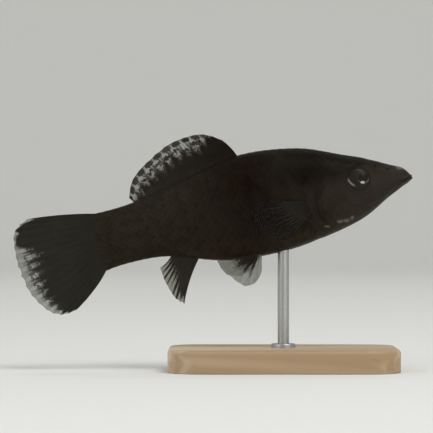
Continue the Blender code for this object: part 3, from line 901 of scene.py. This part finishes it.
def node(tree, kind, inputs=(), **settings):
    """A shader node with its settings and its inputs."""
    made = tree.nodes.new("ShaderNode" + kind)
    for key, value in settings.items():
        setattr(made, key, value)
    plug(made, inputs)
    return made


def wires(made):
    """A node's outputs by name."""
    return {socket.name: Wire(socket) for socket in made.outputs}


class Wire:
    """A shader node's output. Sums and calls with wires make the nodes that work them out."""

    def __init__(self, socket):
        self.socket = socket

    def into(self, kind, inputs, output=0, **settings):
        """One output of a further node in the same tree."""
        return Wire(node(self.socket.id_data, kind, inputs, **settings).outputs[output])

    def calc(self, operation, *values):
        return self.into("Math", dict(enumerate((self, *values))), operation=operation)

    def __add__(self, other):
        return self.calc("ADD", other)

    def __sub__(self, other):
        return self.calc("SUBTRACT", other)

    def __rsub__(self, number):
        return self.calc("MULTIPLY_ADD", -1.0, number)

    def __mul__(self, other):
        return self.calc("MULTIPLY", other)

    def __truediv__(self, other):
        return self.calc("DIVIDE", other)

    def __abs__(self):
        return self.calc("ABSOLUTE")

    def most(self, other):
        """The greater of two values."""
        return self.calc("MAXIMUM", other)

    def chance(self):
        """A lasting random number from 0 to 1 for each whole number."""
        return self.into("TexWhiteNoise", {"W": self}, "Value", noise_dimensions="1D")

    def between(self, low, high, start=0.0, end=1.0):
        """Carries the value smoothly from start at low to end at high."""
        inputs = {"Value": self, "From Min": low, "From Max": high, "To Min": start, "To Max": end}
        return self.into("MapRange", inputs, "Result", interpolation_type="SMOOTHSTEP")

    def blend(self, one, other):
        """A colour that goes from one to the other by this share."""
        return self.into("Mix", {0: self, 6: one, 7: other}, 2, data_type="RGBA")

    def vector(self, operation, other):
        return self.into("VectorMath", {0: self, 1: other}, operation=operation)

    def scaled(self, factor):
        """A vector or a colour times a number."""
        return self.into("VectorMath", {0: self, "Scale": factor}, operation="SCALE")

    def length(self):
        return self.into("VectorMath", {0: self}, "Value", operation="LENGTH")

    def parts(self):
        """A vector's X, Y and Z."""
        return wires(node(self.socket.id_data, "SeparateXYZ", {0: self})).values()

    def noise(self, scale, detail, output="Fac", distortion=0.0):
        inputs = {"Vector": self, "Scale": scale, "Detail": detail, "Distortion": distortion}
        return self.into("TexNoise", inputs, output)

    def bump(self, strength, distance):
        return self.into("Bump", {"Height": self, "Strength": strength, "Distance": distance})


def new_group(name, inputs, outputs):
    """A node group with named sockets: its inputs as wires, and its output node."""
    tree = bpy.data.node_groups.new(name, "ShaderNodeTree")
    for title, value in inputs.items():
        kind = "NodeSocketFloat" if isinstance(value, float) else "NodeSocketVector"
        socket = tree.interface.new_socket(title, in_out="INPUT", socket_type=kind)
        socket.default_value = value
    for title, kind in outputs.items():
        tree.interface.new_socket(title, in_out="OUTPUT", socket_type="NodeSocket" + kind)
    return wires(tree.nodes.new("NodeGroupInput")), tree.nodes.new("NodeGroupOutput")


def use_group(tree, group, inputs):
    return wires(node(tree, "Group", inputs, node_tree=group))


def new_look(name, **values):
    """A material, the wire of its points' places, and its shader with the shader's plain values."""
    look = bpy.data.materials.new(name)
    look.use_nodes = True
    shader = look.node_tree.nodes["Principled BSDF"]
    plug(shader, {key.replace("_", " "): value for key, value in values.items()})
    return look, Wire(node(look.node_tree, "TexCoord").outputs["Object"]), shader


def own_values(look, name):
    """The numbers that keep_values has left on the mesh."""
    return Wire(node(look.node_tree, "Attribute", attribute_name=name).outputs["Fac"])


def own_map(look, name):
    return Wire(node(look.node_tree, "UVMap", uv_map=name).outputs[0])


# Reflectances of the black, as the photograph shows it from the back to the snout.
BACK_BLACK = (0.0038, 0.0018, 0.0008, 1)
FLANK_BLACK = (0.0090, 0.0064, 0.0042, 1)
TAIL_BLACK = (0.0162, 0.0140, 0.0096, 1)
FIN_BLACK = (0.0195, 0.0182, 0.0125, 1)
SHOULDER_BLACK = (0.0122, 0.0100, 0.0066, 1)
HEAD_BLACK = (0.0280, 0.0230, 0.0180, 1)
BROWN_SHEEN = (1.0, 0.77, 0.57, 1)
# The darkest place of the back, in metres, and how fast the black lightens away from it.
DARKEST_PLACE = (-0.0061, 0.0, 0.0361)
DARKEST_SPREAD = (40.0, 0.0, 95.0)
# Where along X, in metres, one black goes over into another.
BLACKS_ALONG = (
    (-0.004, -0.024, TAIL_BLACK), (-0.030, -0.040, FIN_BLACK),
    (-0.008, 0.002, SHOULDER_BLACK), (0.0040, 0.0130, HEAD_BLACK),
)
# How much the crown is darker than the face, and the belly and the low fins lighter than the flank.
CROWN_DARKER = -0.82
BELLY_LIGHTER = 0.7
# The level of the snout's line, which runs through the fish from end to end, under the stand's origin.
SNOUT_LINE = (SNOUT_HEIGHT - SNOUT_AHEAD * math.tan(HEAD_UP)) * MM
# Pale specks on both sides of the throat, and a bluish painted highlight on each side of the upper lip:
# distance along, height, radius, and how much flatter than wide.
PALE_FLECKS = (
    (11.75, -4.90, 0.36, 1.2), (12.75, -5.12, 0.56, 1.7), (13.95, -5.02, 0.56, 1.7),
    (16.25, -5.50, 0.46, 2.0),
)
# The upper lip's bluish patch is a painted highlight.
LIP_HIGHLIGHT = (1.95, 2.05, 0.60, 1.7)
FLECK_PALE = (0.140, 0.135, 0.110, 1)
LIP_HIGHLIGHT_BLUE = (0.088, 0.106, 0.130, 1)
SPECK_AND_HIGHLIGHT_RAGGED = 0.0008
# Noise scales, for places in metres.
MOTTLE_NOISE, SPECK_AND_HIGHLIGHT_NOISE, SKIN_NOISE = 420.0, 1500.0, 9000.0
# The fins' clear bands, the dusky pectoral one and the reddish flecks at their inner edge.
CLEAR_PALE = (0.120, 0.122, 0.100, 1)
CLEAR_LIT = (0.205, 0.215, 0.175, 1)
CLEAR_DUSKY = (0.006, 0.005, 0.004, 1)
FLECK_ROSE = (0.200, 0.165, 0.145, 1)
FIN_MEASURES = ("Ray", "Rim", "Clear", "Ridge")
FIN_MARKS = ("Comb", "Breaks", "Spots", "Line", "Cells")
# Each fin's look: how much its clear band hides what is behind, the band's colour, how strong the
# flecks are, and its marks in the order above.
FIN_LOOKS = {
    "dorsal": (0.38, CLEAR_PALE, 0.6, (0.34, 1.0, 0.95, 0.95, 0.85)),
    "tail": (0.36, CLEAR_PALE, 0.6, (0.30, 1.1, 0.0, 0.7, 0.45)),
    "anal": (0.55, CLEAR_LIT, 0.4, (0.85, 0.9, 0.0, 0.95, 0.0)),
    "pelvic": (0.50, CLEAR_LIT, 0.4, (0.35, 0.9, 0.0, 0.4, 0.0)),
    "pectoral": (0.30, CLEAR_DUSKY, 0.0, (0.40, 0.6, 0.0, 0.6, 0.0)),
}
EYE_BLACK = (0.0150, 0.0120, 0.0088, 1)
PUPIL_BLACK = (0.0085, 0.0068, 0.0052, 1)
IRIS_SILVER_AND_HIGHLIGHT = (0.80, 0.78, 0.72, 1)
ASH_LIGHT = (0.60, 0.46, 0.31, 1)
ASH_DARK = (0.38, 0.255, 0.145, 1)
ASH_PORE = (0.26, 0.17, 0.10, 1)
STEEL_DARK = (0.34, 0.34, 0.34, 1)
STEEL_LIGHT = (0.48, 0.48, 0.47, 1)


def speck_and_highlight(place, along, height, radius, flatness):
    """A mask, 1 inside a small patch on both sides of the head; it draws the pale throat specks and the upper
    lip's painted highlight. `place` has its Y made positive.
    """
    middle = tuple(to_world([on_side(along, height)])[0])
    away = place.vector("SUBTRACT", middle).vector("MULTIPLY", (1.0, 0.6, flatness)).length()
    return away.between(radius * MM * 1.5, radius * MM * 0.2)


def markings_group():
    """The black, deepest under the dorsal fin's front and browner to snout, belly and tail, with pale specks
    on the throat and a bluish painted highlight on the upper lip.
    """
    given, out = new_group(
        "molly_black", {"Place": (0.0, 0.0, 0.0), "Mottle": 0.35}, {"Color": "Color", "Roughness": "Float"}
    )
    place = given["Place"]
    away = place.vector("SUBTRACT", DARKEST_PLACE).vector("MULTIPLY", DARKEST_SPREAD).length()
    colour = away.between(0.25, 1.15).blend(BACK_BLACK, FLANK_BLACK)
    x, _, z = place.parts()
    for start, end, black in BLACKS_ALONG:
        colour = x.between(start, end).blend(colour, black)
    over = x * -math.tan(HEAD_UP) + z - SNOUT_LINE
    crown = over.between(0.0004, 0.0048) * x.between(-0.006, 0.006)
    low = over.between(-0.0035, -0.0075) * x.between(-0.034, -0.027)
    tone = crown * CROWN_DARKER + low * BELLY_LIGHTER + 1.0
    noise = place.noise(MOTTLE_NOISE, 4.0)
    mottle = (noise.between(0.3, 0.7, 0.82, 1.18) - 1.0) * given["Mottle"] + 1.0
    colour = colour.scaled(mottle * tone)
    push = place.noise(SPECK_AND_HIGHLIGHT_NOISE, 2.0, "Color").vector("SUBTRACT", (0.5, 0.5, 0.5)).scaled(SPECK_AND_HIGHLIGHT_RAGGED)
    x, y, z = place.vector("ADD", push).parts()
    mirrored = x.into("CombineXYZ", {0: x, 1: abs(y), 2: z})
    throat = speck_and_highlight(mirrored, *PALE_FLECKS[0])
    for speck in PALE_FLECKS[1:]:
        throat = throat.most(speck_and_highlight(mirrored, *speck))
    colour = throat.blend(colour, FLECK_PALE)
    # Painted highlight: a bluish patch on each side of the upper lip.
    colour = speck_and_highlight(mirrored, *LIP_HIGHLIGHT).blend(colour, LIP_HIGHLIGHT_BLUE)
    plug(out, {"Color": colour, "Roughness": noise.between(0.3, 0.7, 0.36, 0.50)})
    return out.id_data


def skin_look(markings):
    look, place, shader = new_look("black_skin", Specular_IOR_Level=0.055, Specular_Tint=BROWN_SHEEN)
    black = use_group(look.node_tree, markings, {"Place": place})
    grain = place.noise(SKIN_NOISE, 3.0).bump(0.25, 0.00003)
    plug(shader, {"Base Color": black["Color"], "Roughness": black["Roughness"], "Normal": grain})
    return look


def scale_look(markings):
    """Scales: the same black, each a little different, with fine growth rings and a painted sheen that
    lightens each free edge.
    """
    look, place, shader = new_look("black_scales", Specular_IOR_Level=0.06, Specular_Tint=BROWN_SHEEN)
    black = use_group(look.node_tree, markings, {"Place": place})
    away = own_map(look, "scale").vector("SUBTRACT", (0.30, 0.5, 0.0)).length()
    tone = own_values(look, "tone")
    # Each scale's tone differs at random, and its free edge is painted lighter as a sheen.
    tone_and_edge_sheen = tone.between(0.0, 1.0, 0.84, 1.18) * away.between(0.52, 0.68, 1.0, 1.36)
    rings = (away * 130.0).calc("SINE").bump(0.10, 0.00002)
    rough = tone * 0.10 + black["Roughness"] - 0.07
    plug(shader, {"Base Color": black["Color"].scaled(tone_and_edge_sheen), "Roughness": rough, "Normal": rings})
    return look


def fin_group():
    """A fin's clear band: ragged at its inner edge, with dark rays in it and dark spots at its rim."""
    zeros = dict.fromkeys((*FIN_MEASURES, *FIN_MARKS), 0.0)
    outputs = {"Clear": "Float", "Flecks": "Float", "Joints": "Float"}
    get, out = new_group("fin_margin", zeros, outputs)
    nearest = get["Ray"] + 0.5
    off = abs(nearest.calc("FRACT") - 0.5)
    ray_chance = nearest.calc("FLOOR").chance()
    gap_chance = (get["Ray"].calc("FLOOR") + 40.5).chance()
    drawn = off.into("CombineXYZ", {0: get["Ray"] * 3.2, 1: get["Rim"]})
    uneven = drawn.noise(1.15, 4.0) - 0.5
    mesh = drawn.noise(3.4, 3.0, distortion=0.8)
    depth = get["Rim"] / get["Clear"].most(0.05)
    comb = off.between(0.42, 0.06) * get["Comb"] * (ray_chance * 1.1 + 0.35)
    edge = depth + comb + uneven * get["Breaks"] + (gap_chance - 0.5) * 0.22
    line = depth.between(0.1, 0.7, 0.12, 1.0) * get["Ridge"] * get["Line"]
    size = ray_chance * 0.3 + 0.85
    wide = off / (size * 0.44)
    deep = (get["Rim"] + uneven * 0.8 - 0.45) / (size * 0.50)
    spot = (wide * wide + deep * deep).between(1.4, 0.5, 0.0, ray_chance * -0.35 + 1.0)
    spot = spot.most(get["Rim"].between(0.22, 0.06, 0.0, 0.8))
    in_gap = (0.5 - off) / 0.40
    back = (uneven * 2.2 + get["Rim"] - ((gap_chance - 0.5) * 1.3 + 1.85)) / 0.26
    cells = (in_gap * in_gap + back * back).between(1.5, 0.5) * get["Cells"]
    dark = (spot * get["Spots"]).most(cells)
    mottle = mesh.between(0.46, 0.64, 0.0, 0.75) * depth.between(0.25, 0.95, 0.25, 1.0)
    clear = edge.between(1.08, 0.82) * (1.0 - line) * (1.0 - dark) * (1.0 - mottle)
    clear = clear * depth.between(0.45, 1.0, 1.0, 0.72)
    flecks = edge.between(0.70, 0.86) * edge.between(1.30, 1.08) * mesh.between(0.46, 0.36)
    joints = (get["Rim"] * 24.0).calc("SINE") * get["Ridge"]
    plug(out, {"Clear": clear, "Flecks": flecks, "Joints": joints})
    return out.id_data


def fin_look(name, markings, margin, veil, pale, rosy, marks):
    """Black fin skin with a clear band along the margin, as a row of FIN_LOOKS has it."""
    look, place, shader = new_look(f"{name}_fin_skin", Specular_IOR_Level=0.08)
    black = use_group(look.node_tree, markings, {"Place": place})
    measures = {word: own_values(look, word.lower()) for word in FIN_MEASURES}
    band = use_group(look.node_tree, margin, {**measures, **dict(zip(FIN_MARKS, marks))})
    clear, flecks = band["Clear"], band["Flecks"] * rosy
    colour = flecks.blend(clear.blend(black["Color"], pale), FLECK_ROSE)
    alpha = measures["Ridge"] * 0.10 + clear.between(0.0, 1.0, 1.0, veil) + flecks
    plug(shader, {
        "Base Color": colour,
        "Roughness": black["Roughness"],
        "Alpha": alpha.into("Clamp", {"Value": alpha}),
        "Normal": band["Joints"].bump(0.3, 0.00003),
    })
    return look


def eye_look():
    """Black eye, with a silvery line under the pupil painted brighter towards its bottom and a painted
    highlight at one place on it, and a fainter silvery crescent behind.
    """
    look, _, shader = new_look(
        "wet_eye", Specular_IOR_Level=0.1, Coat_Weight=0.10, Coat_Roughness=0.04, Coat_IOR=1.34
    )
    place = own_map(look, "disc").vector("SUBTRACT", (0.5, 0.5, 0.0)).scaled(DISC_SIZE)

    def away_from(middle, stretch=(1.0, 1.0, 1.0)):
        return place.vector("SUBTRACT", (*middle, 0.0)).vector("MULTIPLY", stretch)

    x, y, _ = place.parts()
    off_line = abs(away_from(CRESCENT[:2]).length() - CRESCENT[2])
    crescent = off_line.between(0.24, 0.04) * y.between(1.25, 0.55) * x.between(-0.85, -1.35, 0.0, 0.20)
    to_pupil = away_from(PUPIL)
    reach = to_pupil.length() / PUPIL_RADIUS
    _, up, _ = to_pupil.parts()
    down = up / (reach * PUPIL_RADIUS)
    # The silvery ring shows only under the pupil and brightens towards its bottom: painted light.
    ring = reach.between(0.97, 1.06) * reach.between(1.34, 1.12) * down.between(-0.30, -0.75, 0.010, 0.10)
    # A painted highlight at the ring's brightest place.
    glint = reach.between(0.72, 0.86) * reach.between(1.38, 1.18)
    glint = glint * away_from(GLINT, GLINT_STRETCH).length().between(0.42, 0.16, 0.0, 0.62)
    grain = place.noise(2.6, 3.0).between(0.25, 0.7, 0.75, 1.1)
    silver_and_highlight = crescent.most(ring.most(glint)) * grain
    dark = reach.between(1.0, 0.94).blend(EYE_BLACK, PUPIL_BLACK)
    plug(shader, {
        "Base Color": silver_and_highlight.blend(dark, IRIS_SILVER_AND_HIGHLIGHT),
        "Roughness": silver_and_highlight.between(0.0, 0.5, 0.45, 0.30),
    })
    return look


def grain_group():
    """Fibres and bands drawn out by a stretch, for wood grain and for brushed steel."""
    given, out = new_group(
        "drawn_fibres",
        {"Place": (0.0, 0.0, 0.0), "Stretch": (1.0, 1.0, 1.0), "Scale": 100.0},
        {"Fibres": "Float", "Bands": "Float"},
    )
    drawn = given["Place"].vector("MULTIPLY", given["Stretch"])
    bands = drawn.noise(given["Scale"] * 0.18, 3.0, distortion=0.6)
    plug(out, {"Fibres": drawn.noise(given["Scale"], 6.0), "Bands": bands})
    return out.id_data


def wood_look(grain):
    look, place, shader = new_look("pale_ash", Specular_IOR_Level=0.45)
    drawn = use_group(look.node_tree, grain, {"Place": place, "Stretch": (0.05, 1.0, 1.0), "Scale": 1400.0})
    pores = drawn["Fibres"].between(0.62, 0.72)
    colour = drawn["Bands"].between(0.35, 0.62).blend(ASH_LIGHT, ASH_DARK)
    plug(shader, {
        "Base Color": (pores * 0.45).blend(colour, ASH_PORE),
        "Roughness": drawn["Fibres"].between(0.3, 0.7, 0.38, 0.55),
        "Normal": (drawn["Bands"] - pores * 0.8).bump(0.35, 0.00006),
    })
    return look


def steel_look(grain):
    look, place, shader = new_look("satin_steel", Metallic=1.0)
    drawn = use_group(look.node_tree, grain, {"Place": place, "Stretch": (1.0, 1.0, 0.03), "Scale": 9000.0})
    plug(shader, {
        "Base Color": drawn["Bands"].blend(STEEL_DARK, STEEL_LIGHT),
        "Roughness": drawn["Fibres"].between(0.3, 0.7, 0.26, 0.40),
        "Normal": drawn["Fibres"].bump(0.12, 0.00002),
    })
    return look


# The studio, in metres: a pale floor that curves up into a round wall far behind every view.
FLOOR_RADIUS = 0.85
WALL_CURVE = 0.45
WALL_HEIGHT = 1.5
FLOOR_PALE = (0.74, 0.74, 0.72, 1)
PHOTO_WIDTH = 0.0752
SENSOR_WIDTH = 36.0
CAMERA_DISTANCE = 0.45
CAMERA_AIM = (-0.01161, 0.02673)
# The lamps: name, place, what they light, size and power. More stand in a ring and light the wall.
FISH_MIDDLE = (0.0, 0.0, 0.028)
LAMPS = (
    ("key_light", (0.30, -0.26, 0.62), FISH_MIDDLE, (0.42, 0.42), 2.6),
    ("fill_light", (-0.55, -0.38, 0.32), FISH_MIDDLE, (0.6, 0.5), 1.2),
    ("top_light", (0.0, 0.18, 0.75), FISH_MIDDLE, (0.8, 0.6), 0.4),
    ("low_light", (0.32, -0.40, 0.062), (0.013, 0.0, 0.033), (0.5, 0.3), 0.35),
)
WALL_LAMPS = 6
AIR_LIGHT = 0.32


def build_floor():
    bpy.ops.mesh.primitive_circle_add(vertices=160, radius=FLOOR_RADIUS, fill_type="NGON")
    floor = added("studio_floor")
    bpy.ops.object.mode_set(mode="EDIT")
    select_edges(floor, lambda a, b: True)
    radius, height = FLOOR_RADIUS, 0.0
    bends = [(math.sin(t), 1 - math.cos(t)) for t in np.linspace(0, math.pi / 2, 15)[1:]]
    rises = [(FLOOR_RADIUS + WALL_CURVE * s, WALL_CURVE * c) for s, c in bends]
    for next_radius, next_height in rises + [(rises[-1][0], WALL_HEIGHT)]:
        bpy.ops.mesh.extrude_edges_move()
        grow = next_radius / radius
        bpy.ops.transform.resize(value=(grow, grow, 1.0))
        bpy.ops.transform.translate(value=(0, 0, next_height - height))
        radius, height = next_radius, next_height
    bpy.ops.mesh.select_all(action="SELECT")
    bpy.ops.mesh.normals_make_consistent(inside=True)
    bpy.ops.object.mode_set(mode="OBJECT")
    smooth(floor)
    look, _, _ = new_look("pale_floor", Base_Color=FLOOR_PALE, Roughness=0.9, Specular_IOR_Level=0.1)
    floor.data.materials.append(look)


def add_lamp(name, place, aim, size, power):
    bpy.ops.object.light_add(type="AREA", location=place)
    lamp = bpy.context.object
    lamp.name = name
    lamp.data.shape = "RECTANGLE"
    lamp.data.size, lamp.data.size_y = size
    lamp.data.energy = power
    lamp.rotation_euler = (Vector(aim) - Vector(place)).to_track_quat("-Z", "Y").to_euler()


def light_studio():
    for lamp in LAMPS:
        add_lamp(*lamp)
    for number in range(WALL_LAMPS):
        turn = 2 * math.pi * number / WALL_LAMPS
        out = Vector((math.cos(turn), math.sin(turn), 0.0))
        place, lit = out * 0.5 + Vector((0, 0, 0.8)), out * 1.25 + Vector((0, 0, 0.05))
        add_lamp(f"wall_light_{number}", place, lit, (0.5, 0.3), 1.1)
    world = bpy.data.worlds.new("studio_air")
    world.use_nodes = True
    plug(world.node_tree.nodes["Background"], {"Color": (1.0, 1.0, 1.0, 1), "Strength": AIR_LIGHT})
    bpy.context.scene.world = world
    bpy.context.scene.view_settings.view_transform = "Standard"


def place_camera():
    """A level view of the fish's right side, with the photograph's framing."""
    across, up = CAMERA_AIM
    bpy.ops.object.camera_add(location=(across, -CAMERA_DISTANCE, up), rotation=(math.pi / 2, 0, 0))
    camera = bpy.context.object
    camera.data.sensor_width = SENSOR_WIDTH
    camera.data.lens = SENSOR_WIDTH * CAMERA_DISTANCE / PHOTO_WIDTH
    camera.data.clip_start = 0.01
    camera.data.clip_end = 10.0
    bpy.context.scene.camera = camera


def main():
    markings, margin, grain = markings_group(), fin_group(), grain_group()
    black_skin = skin_look(markings)
    build_skin(black_skin)
    build_scales(SkinMap(), scale_look(markings))
    build_eye_rims(black_skin)
    build_eyes(eye_look())
    build_fins({name: fin_look(name, markings, margin, *row) for name, row in FIN_LOOKS.items()})
    build_stand(wood_look(grain), steel_look(grain))
    build_floor()
    light_studio()
    place_camera()


main()
bpy.ops.object.select_all(action="DESELECT")
